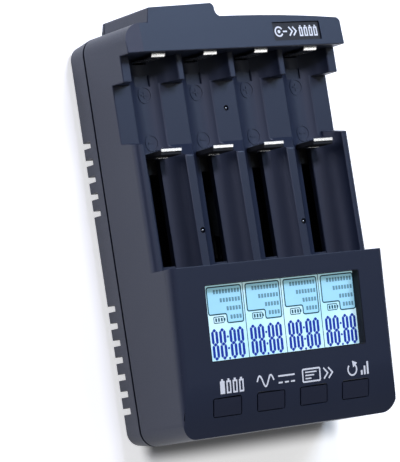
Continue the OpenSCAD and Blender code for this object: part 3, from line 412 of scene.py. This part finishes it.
def plate(outline, low, high):
    """Flat plate: one outline at two heights, joined round its edge."""
    p = np.asarray(outline, float)
    return skin(np.stack([np.c_[p, np.full(len(p), low)], np.c_[p, np.full(len(p), high)]]))


def tube(path, radius, sides=8):
    """Round wire along a path: rings of points at the radius, on two directions square to the path."""
    p = np.asarray(path, float)
    run = np.gradient(p, axis=0)
    run /= np.linalg.norm(run, axis=1, keepdims=True)
    aside = np.array([0.0, 0.6, 0.8])
    u = np.cross(run, aside)
    u /= np.linalg.norm(u, axis=1, keepdims=True)
    v = np.cross(run, u)
    a = np.linspace(0, 2 * np.pi, sides, endpoint=False)[None, :, None]
    return skin(p[:, None] + radius * (np.cos(a) * u[:, None] + np.sin(a) * v[:, None]))


def turned(profile, sides=20):
    """Round shape: a profile of radius and height, turned about Z."""
    r, z = np.asarray(profile, float).T[:, :, None]
    a = np.linspace(0, 2 * np.pi, sides, endpoint=False)[None, :]
    return skin(np.stack([r * np.cos(a), r * np.sin(a), np.broadcast_to(z, (len(r), sides))], -1))


def gather(shapes):
    """Several shapes as one: their points in a row, with each face counted on from the points before."""
    counts = np.cumsum([0] + [len(points) for points, _ in shapes])
    faces = [[int(start + v) for v in face] for start, (_, fs) in zip(counts, shapes) for face in fs]
    return np.vstack([points for points, _ in shapes]), faces


def rectangle(x, y, w, h):
    """Corners of a rectangle from its middle and size."""
    x0, x1, y0, y1 = x - w / 2, x + w / 2, y - h / 2, y + h / 2
    return np.array([[x0, y0], [x1, y0], [x1, y1], [x0, y1]])


def rounded(corners, r, steps=4):
    """A closed outline with each corner rounded: a curve from a point a on one side to a point b on the
    other, (1 - t)^2 a + 2 t (1 - t) c + t^2 b."""
    c = np.asarray(corners, float)
    back, on = np.roll(c, 1, 0) - c, np.roll(c, -1, 0) - c
    a = c + back / np.linalg.norm(back, axis=1, keepdims=True) * r
    b = c + on / np.linalg.norm(on, axis=1, keepdims=True) * r
    t = np.linspace(0, 1, steps + 1)[None, :, None]
    return ((1 - t) ** 2 * a[:, None] + 2 * t * (1 - t) * c[:, None] + t ** 2 * b[:, None]).reshape(-1, 2)


def circle(x, y, r, steps=32, start=0.0, turn=360.0):
    """Points round a circle, or round part of it when the turn is under 360 degrees."""
    a = np.radians(np.linspace(start, start + turn, steps, endpoint=turn < 360))
    return np.c_[x + r * np.cos(a), y + r * np.sin(a)]


def arrow_head(x, y, length, half):
    """Path of an open arrow head that points along X."""
    return [(x, y - half), (x + length, y), (x, y + half)]


def on_face(points):
    """Places points on the display face: across, down the face and out of it. Past the bend the face drops by
    the rise of a circle, R - sqrt(R^2 - d^2). The face leans forward by its tilt."""
    u, v, h = np.asarray(points).T
    bend = np.clip(v - FACE_BEND, 0, None)
    drop = np.clip(FACE_BEND_R - np.sqrt(FACE_BEND_R ** 2 - bend ** 2) - FACE_BEND_LIFT, 0, None)
    y, z = -v, h - drop
    c, s = math.cos(FACE_TILT), math.sin(FACE_TILT)
    return np.c_[u, FACE_Y + y * c - z * s, FACE_Z + y * s + z * c]


def on_header(points):
    """Places points on the header's face: across, back from its front edge and out of it. The face leans back
    by its tilt."""
    u, v, h = np.asarray(points).T
    c, s = math.cos(HEAD_TILT), math.sin(HEAD_TILT)
    return np.c_[u, HEAD_Y + v * c + h * s, HEAD_Z - v * s + h * c]


def in_channel(points, middle):
    """Places points on the floor of a bay: across from its middle, along it, and up from a circle about its
    axis."""
    u, y, h = np.asarray(points).T
    return np.c_[middle + u, y, CHANNEL_AXIS - np.sqrt(CHANNEL_R ** 2 - u ** 2) + h]


def make_piece(name, points, faces, material, body="case", smooth=None):
    """Mesh object from points in millimetres, with its faces turned outwards, riding on a body. It is shaded
    smooth where its faces meet at less than the smooth angle."""
    mesh = bpy.data.meshes.new(name)
    mesh.from_pydata((np.asarray(points) * MM).tolist(), [], faces)
    work = bmesh.new()
    work.from_mesh(mesh)
    bmesh.ops.recalc_face_normals(work, faces=work.faces)
    work.to_mesh(mesh)
    work.free()
    mesh.materials.append(material)
    if smooth is not None:
        mesh.shade_smooth()
        mesh.set_sharp_from_angle(angle=math.radians(smooth))
    obj = bpy.data.objects.new(name, mesh)
    bpy.context.scene.collection.objects.link(obj)
    if body:
        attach(obj, body)
    return obj


# CAD nodes: finishes and rounded edges

for node, obj in NODES.items():
    for holder in obj.material_slots:
        holder.material = FINISH[SLOT_OF[node]]


def round_edges(node, name, width, shortest, sharp=20, segments=2, crease=12):
    """A copy of a CAD node with its triangles merged into flat faces, and a rounding of the given width on
    each outer edge that turns by more than the sharp angle and is longer than the shortest length. Faces that
    meet at more than the crease angle are shaded apart."""
    slot = SLOT_OF[node]
    same_place, same_plane = 4, math.radians(0.6)
    source = NODES[node].data
    points = np.empty(len(source.vertices) * 3)
    source.vertices.foreach_get("co", points)
    corners = np.empty(len(source.loops), np.int32)
    source.loops.foreach_get("vertex_index", corners)
    unique, number = np.unique(np.round(points.reshape(-1, 3) / MM, same_place), axis=0, return_inverse=True)
    triangles = number.reshape(-1)[corners].reshape(-1, 3)
    whole = (triangles != np.roll(triangles, 1, 1)).all(1)
    obj = make_piece(name, unique, triangles[whole].tolist(), FINISH[slot], BODY_OF[node])
    work = bmesh.new()
    work.from_mesh(obj.data)
    bmesh.ops.dissolve_limit(work, angle_limit=same_plane, verts=work.verts, edges=work.edges)
    weight = work.edges.layers.float.new("bevel_weight_edge")
    for edge in work.edges:
        if len(edge.link_faces) == 2 and edge.calc_length() > shortest * MM:
            edge[weight] = float(edge.calc_face_angle_signed(0) > math.radians(sharp))
    work.to_mesh(obj.data)
    work.free()
    obj.data.shade_smooth()
    obj.data.set_sharp_from_angle(angle=math.radians(crease))
    bevel = obj.modifiers.new("rounding", "BEVEL")
    bevel.limit_method, bevel.width, bevel.segments = "WEIGHT", width * MM, segments
    bevel.use_clamp_overlap, bevel.harden_normals = False, True
    obj.modifiers.new("flat_faces_lead", "WEIGHTED_NORMAL").keep_sharp = True
    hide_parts(node)


round_edges("top_shell", "upper_moulding", width=0.35, shortest=1.2)
round_edges("bottom_shell", "lower_moulding", width=0.3, shortest=1.2)
for bay in BAYS:
    round_edges(f"button_{bay}", f"button_cap_{bay}", width=0.18, shortest=1.0)
    round_edges(f"slider_{bay}", f"slider_moulding_{bay}", width=0.2, shortest=1.0)
    round_edges(f"foot_{bay}", f"rubber_foot_{bay}", width=0.35, shortest=0.2)


# Display picture, measured from the window's top and from the left edge of each of its four columns

PRINT_SINK, FILM_RISE, LINE_RISE = 0.02, 0.03, 0.05
FILM = (-GLASS_DEPTH - PRINT_SINK, -GLASS_DEPTH + FILM_RISE)
LINE = (-GLASS_DEPTH - PRINT_SINK, -GLASS_DEPTH + LINE_RISE)
COLUMN_START, COLUMN_PITCH, PICTURE_END = -33.85, 17.85, 36.5
COLUMNS = COLUMN_START + COLUMN_PITCH * np.arange(len(BAYS))
COLUMN_PEN, COLUMN_IN = 0.3, 0.2
FRAME_LEFT, FRAME_STEP, FRAME_RIGHT = 1.2, 9.4, 16.9
FRAME_TOP, FRAME_NOTCH, FRAME_LOW = 1.0, 10.9, 14.3
FRAME_R, FRAME_PEN = 0.9, 0.48
LEVELS, LEVEL_TOP, LEVEL_ROW = (9, 7, 5, 4), 2.8, 3.15
LEVEL_IN, LEVEL_PITCH, LEVEL_W, LEVEL_H = 1.3, 1.38, 0.95, 1.5
CELL_X, CELL_Y, CELL_W, CELL_H, CELL_R, CELL_PEN = 5.6, 12.9, 4.6, 2.2, 0.4, 0.3
CELL_CAP_X, CELL_CAP_W, CELL_CAP_H = 8.2, 0.6, 1.0
CHARGE_X, CHARGE_PITCH, CHARGE_W, CHARGE_H = 4.3, 1.3, 0.75, 1.3
DIGITS_X, DIGIT_W, DIGIT_TOP, DIGIT_H = (1.4, 5.0, 9.65, 13.25), 3.0, 16.0, 11.3
STROKE, STROKE_GAP = 1.15, 0.1
DOT_X, DOT_R, DOTS_Y = 8.85, 0.45, (3.2, 7.4, 11.0)


def segment(a, b, width):
    """One display segment: a bar from a to b with pointed ends, six corners."""
    a, b = np.asarray(a, float), np.asarray(b, float)
    run = (b - a) / np.linalg.norm(b - a) * width / 2
    side = np.array([-run[1], run[0]])
    return np.array([a, a + run + side, b - run + side, b, b - run - side, a + run - side])


def digit(left, top):
    """All seven segments of one digit, with a small gap where they meet."""
    half, gap = STROKE / 2, STROKE_GAP
    x0, x1 = left + half, left + DIGIT_W - half
    rows = top + half, top + DIGIT_H / 2, top + DIGIT_H - half
    across = [((x0 + gap, y), (x1 - gap, y)) for y in rows]
    upright = [((x, y + gap), (x, z - gap)) for x in (x0, x1) for y, z in zip(rows, rows[1:])]
    return [plate(segment(a, b, STROKE), *LINE) for a, b in across + upright]


def stepped_frame(left, right, top):
    """One column's frame, which is deeper on its right, and the field that fills it."""
    x0, step = left + FRAME_LEFT, left + FRAME_STEP
    y0, notch, y1 = top + FRAME_TOP, top + FRAME_NOTCH, top + FRAME_LOW
    outline = rounded([(x0, y0), (right, y0), (right, y1), (step, y1), (step, notch), (x0, notch)], FRAME_R)
    return band(outline, FRAME_PEN, *LINE, closed=True), plate(outline, *FILM)


def cell_sign(left, y):
    """A lying cell with its cap and three charge marks."""
    case = band(rounded(rectangle(left + CELL_X, y, CELL_W, CELL_H), CELL_R), CELL_PEN, *LINE, closed=True)
    cap = plate(rectangle(left + CELL_CAP_X, y, CELL_CAP_W, CELL_CAP_H), *LINE)
    charge_x = left + CHARGE_X + CHARGE_PITCH * np.arange(3)
    return [case, cap] + [plate(rectangle(x, y, CHARGE_W, CHARGE_H), *LINE) for x in charge_x]


def level_marks(right, top):
    """Rows of level marks, counted back from the frame's right side."""
    places = [(right - LEVEL_IN - LEVEL_PITCH * k, top + LEVEL_TOP + LEVEL_ROW * row)
              for row, count in enumerate(LEVELS) for k in range(count)]
    return [plate(rectangle(x, y, LEVEL_W, LEVEL_H), *LINE) for x, y in places]


def display_picture():
    """Four equal columns: a stepped frame with four rows of level marks, a cell sign in the notch, and four
    digits."""
    top, digits, lines, marks, fields = WINDOW_TOP, [], [], [], []
    for left in COLUMNS:
        right = min(left + FRAME_RIGHT, PICTURE_END)
        line, field = stepped_frame(left, right, top)
        lines += [line] + cell_sign(left, top + CELL_Y)
        fields.append(field)
        marks += level_marks(right, top)
        for offset in DIGITS_X:
            digits += digit(min(left + offset, PICTURE_END - DIGIT_W), top + DIGIT_TOP)
        digits += [plate(circle(left + DOT_X, top + DIGIT_TOP + y, DOT_R, 12), *LINE) for y in DOTS_Y]
    for x in COLUMNS[1:]:
        lines.append(band([(x, top + COLUMN_IN), (x, top + WINDOW_H - COLUMN_IN)], COLUMN_PEN, *LINE))
    layers = (("display_digits", digits, CRYSTAL_BLUE), ("display_frames", lines, CRYSTAL_TEAL),
              ("display_levels", marks, CRYSTAL_GREY), ("display_fields", fields, CRYSTAL_FIELD))
    for name, shapes, material in layers:
        points, faces = gather(shapes)
        make_piece(name, on_face(points), faces, material)


def window_lining():
    """Black lip of the gasket: a band round the walls of the display window, from the glass to just under the
    face. Its black is partly the display's dark edge and partly painted shade on the window's walls."""
    thick, clear = 0.3, 0.02
    low, high = -GLASS_DEPTH + 0.06, -0.25
    across, down, inset = WINDOW_X, WINDOW_TOP + WINDOW_H / 2, thick + 2 * clear
    path = rounded(rectangle(across, down, WINDOW_W - inset, WINDOW_H - inset), WINDOW_R, 6)
    points, faces = band(path, thick, low, high, closed=True)
    make_piece("window_lining", on_face(points), faces, FINISH["rubber"], smooth=30)


display_picture()
# The lining's black is in part painted shade on the window's walls.
window_lining()


# Printed signs above the buttons, down the display face, and on the label plate

INK_SINK, INK_RISE, LABEL_INK_RISE, PEN = 0.05, 0.06, 0.05, 0.6
INK = (-INK_SINK, INK_RISE)
LABEL_INK = (-LABEL_DEPTH - INK_SINK, -LABEL_DEPTH + LABEL_INK_RISE)
SIGN_V = 43.8
SIGN_SHIFT = (2.3, 2.3, 2.1, 1.6)


def cells_sign(x):
    """Four upright cells in a row, each with a cap, the first one filled."""
    pitch, wide, tall, body_v, cap_v, cap = 2.9, 1.5, 4.0, SIGN_V + 0.35, SIGN_V - 2.3, (0.9, 0.7)
    places = x + pitch * (np.arange(4) - 1.5)
    filled = plate(rectangle(places[0], body_v, wide + PEN, tall + PEN), *INK)
    outlined = [band(rectangle(u, body_v, wide, tall), PEN, *INK, closed=True) for u in places[1:]]
    return [filled] + outlined + [plate(rectangle(u, cap_v, *cap), *INK) for u in places]


def current_sign(x):
    """A wave, v = -A sin(2 pi t) over one and a half turns, beside a long line over three dashes."""
    wave_x, wave_l, wave_h, turns = x - 8.6, 5.2, 2.0, 1.5
    line_x, line_v, line_w = x + 5.2, SIGN_V - 1.1, 7.7
    dash_x, dash_v, dash_w, dash_pitch = x + 2.3, SIGN_V + 1.3, 1.9, 2.9
    t = np.linspace(0, turns, 49)
    wave = np.c_[wave_x + wave_l * t, SIGN_V - wave_h * np.sin(2 * np.pi * t)]
    dashes = [plate(rectangle(dash_x + dash_pitch * k, dash_v, dash_w, PEN), *INK) for k in range(3)]
    return [band(wave, PEN, *INK), plate(rectangle(line_x, line_v, line_w, PEN), *INK)] + dashes


def screen_sign(x):
    """A framed screen with three lines in it, and two arrow heads beside it."""
    screen_x, screen_w, screen_h, screen_r = x - 3.0, 8.2, 4.6, 0.5
    line_x, line_pitch, line_pen, line_widths = x - 5.9, 1.15, 0.5, (5.4, 4.2, 2.8)
    head_l, head_half, heads_x = 1.9, 2.0, (x + 2.9, x + 5.2)
    screen = band(rounded(rectangle(screen_x, SIGN_V, screen_w, screen_h), screen_r), PEN, *INK, closed=True)
    lines = [plate(rectangle(line_x + w / 2, SIGN_V + line_pitch * (k - 1), w, line_pen), *INK)
             for k, w in enumerate(line_widths)]
    heads = [band(arrow_head(u, SIGN_V, head_l, head_half), PEN, *INK) for u in heads_x]
    return [screen] + lines + heads


def cycle_sign(x):
    """A ring with an arrow head, beside three rising bars."""
    ring_x, ring_r, ring_start, ring_turn = x - 2.9, 2.1, -60, 285
    bar_x, bar_pitch, bar_w, bar_foot, bar_heights = x + 1.6, 1.5, 0.85, SIGN_V + 2.4, (1.7, 3.2, 4.7)
    ring = band(circle(ring_x, SIGN_V, ring_r, 30, ring_start, ring_turn), PEN, *INK)
    head = plate(np.array([(0.2, -3.2), (2.6, -2.3), (0.5, -0.7)]) + (ring_x, SIGN_V), *INK)
    bars = [plate(rectangle(bar_x + bar_pitch * k, bar_foot - h / 2, bar_w, h), *INK)
            for k, h in enumerate(bar_heights)]
    return [ring, head] + bars


def label_signs():
    """White signs on the label plate: a plug's ring and pin, two arrow heads, and a row of four cells."""
    x, v = LABEL_X, LABEL_V
    ring_x, ring_r, ring_start, ring_turn, pin_r = x - 8.3, 1.75, 30, 300, 0.65
    stub_x, stub_w = x - 5.4, 2.0
    head_l, head_half, heads_x = 1.5, 1.7, (x - 3.4, x - 1.5)
    first_cell, cell_pitch, body_v, wide, tall, cell_pen = x + 2.3, 2.35, v - 0.3, 1.15, 3.0, 0.55
    cap_v, cap = v + 1.85, (0.7, 0.55)
    cells_x = first_cell + cell_pitch * np.arange(4)
    shapes = [band(circle(ring_x, v, ring_r, 32, ring_start, ring_turn), PEN, *LABEL_INK),
              plate(circle(ring_x, v, pin_r, 16), *LABEL_INK),
              plate(rectangle(stub_x, v, stub_w, PEN), *LABEL_INK)]
    shapes += [band(arrow_head(u, v, head_l, head_half), PEN, *LABEL_INK) for u in heads_x]
    shapes += [band(rectangle(u, body_v, wide, tall), cell_pen, *LABEL_INK, closed=True) for u in cells_x]
    return shapes + [plate(rectangle(u, cap_v, *cap), *LABEL_INK) for u in cells_x]


signs = zip((cells_sign, current_sign, screen_sign, cycle_sign), BUTTON_X + SIGN_SHIFT)
points, faces = gather([shape for sign, x in signs for shape in sign(x)])
make_piece("button_signs", on_face(points), faces, WHITE_INK)
points, faces = gather(label_signs())
make_piece("label_signs", on_header(points), faces, WHITE_INK)


# Polarity signs moulded in the bays

RIDGE = (-0.1, 0.2)
SIGN_X, PLUS_Y, MINUS_Y = 0.5, 48.2, 30.4
SIGN_RING, RING_PEN = (2.75, 2.95), 0.4
BAR_HALF, BAR_PEN, ARM_GAP = 1.4, 0.5, 0.01


def polarity_signs():
    """A plus and a minus, each a bar in an oval ring. The plus has two more arms, which start at the bar's
    edges."""
    across = np.linspace(-BAR_HALF, BAR_HALF, 9)
    shapes = []
    for y in (PLUS_Y, MINUS_Y):
        shapes.append(band(circle(0, 0, 1, 48) * SIGN_RING + (SIGN_X, y), RING_PEN, *RIDGE, closed=True))
        shapes.append(band(np.c_[SIGN_X + across, np.full(len(across), y)], BAR_PEN, *RIDGE))
    arm = np.array([(0, BAR_PEN / 2 + ARM_GAP), (0, BAR_HALF)])
    for way in (-1, 1):
        shapes.append(band((SIGN_X, PLUS_Y) + way * arm, BAR_PEN, *RIDGE))
    return shapes


for bay, middle in zip(BAYS, BAY_X):
    points, faces = gather(polarity_signs())
    make_piece(f"polarity_signs_{bay}", in_channel(points, middle), faces, FINISH["case_plastic"])


# Pins in the small holes of the ribs

PIPS = [(0, PIP_PLATFORM_Y, PLATFORM_Z), (PIP_SHIFT - BAY_PITCH, PIP_RIB_Y, RIB_Z),
        (PIP_SHIFT + BAY_PITCH, PIP_RIB_Y, RIB_Z)]
PIN_R, PIN_TOP, PIN_FOOT = 0.5, -0.05, -1.3
SEAT_R, SEAT_LOW, SEAT_HIGH = PIP_R + 0.05, -1.5, -1.1


def domed_pin(radius, top, foot, steps=6):
    """Profile of an upright pin with a round head: r = R cos t, z = top - R + R sin t, up to just short of
    the pole."""
    near_pole = 0.49 * np.pi
    t = np.linspace(0, near_pole, steps)
    return np.vstack([[(radius, foot)], np.c_[radius * np.cos(t), top - radius + radius * np.sin(t)]])


def at_pips(profile):
    """The same round shape in each of the small holes."""
    points, faces = turned(profile)
    return gather([(points + place, faces) for place in PIPS])


points, faces = at_pips([(SEAT_R, SEAT_LOW), (SEAT_R, SEAT_HIGH)])
make_piece("pin_seats", points, faces, FINISH["rubber"], smooth=30)
points, faces = at_pips(domed_pin(PIN_R, PIN_TOP, PIN_FOOT))
make_piece("sensor_pins", points, faces, FINISH["nickel_sheet"], smooth=50)


# Return springs

def spring_path(turns=26, per_turn=14, eye_points=20):
    """Middle line of a return spring: an eye of 320 degrees, a helix (r cos a, y, r sin a), and the second
    eye turned end for end."""
    eye_start, eye_end = 110, 430
    a = np.radians(np.linspace(eye_start, eye_end, eye_points))
    eye = np.c_[EYE_R * np.cos(a), EYE_R * np.sin(a), np.zeros(eye_points)]
    t = np.linspace(0, 1, turns * per_turn + 1)
    y0, y1 = SPRING_FROM + EYE_R + SPRING_LEAD, SPRING_TO - EYE_R - SPRING_LEAD
    angle = 2 * np.pi * turns * t
    coil = np.c_[SPRING_R * np.cos(angle), y0 + (y1 - y0) * t, SPRING_R * np.sin(angle)]
    return np.vstack([eye + (0, SPRING_FROM, 0), coil, (eye * (1, -1, 1) + (0, SPRING_TO, 0))[::-1]])


for bay, middle in zip(BAYS, BAY_X):
    points, faces = tube(spring_path() + (middle, 0, SPRING_Z), WIRE_R)
    spring = make_piece(f"return_spring_{bay}", points, faces, FINISH["spring_steel"],
                        body=None, smooth=50)
    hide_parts(f"slider_spring_{bay}")
    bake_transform(spring)


# Studio floor

FLOOR_W, FLOOR_Z = 6000, -0.05
floor_mesh = bpy.data.meshes.new("studio_floor")
corners = np.c_[rectangle(0, 0, FLOOR_W, FLOOR_W), np.full(4, FLOOR_Z)]
floor_mesh.from_pydata((corners * MM).tolist(), [], [[0, 1, 2, 3]])
floor_mesh.materials.append(studio_floor("white_studio_floor", glow=0.62))
floor = bpy.data.objects.new("studio_floor", floor_mesh)
bpy.context.scene.collection.objects.link(floor)
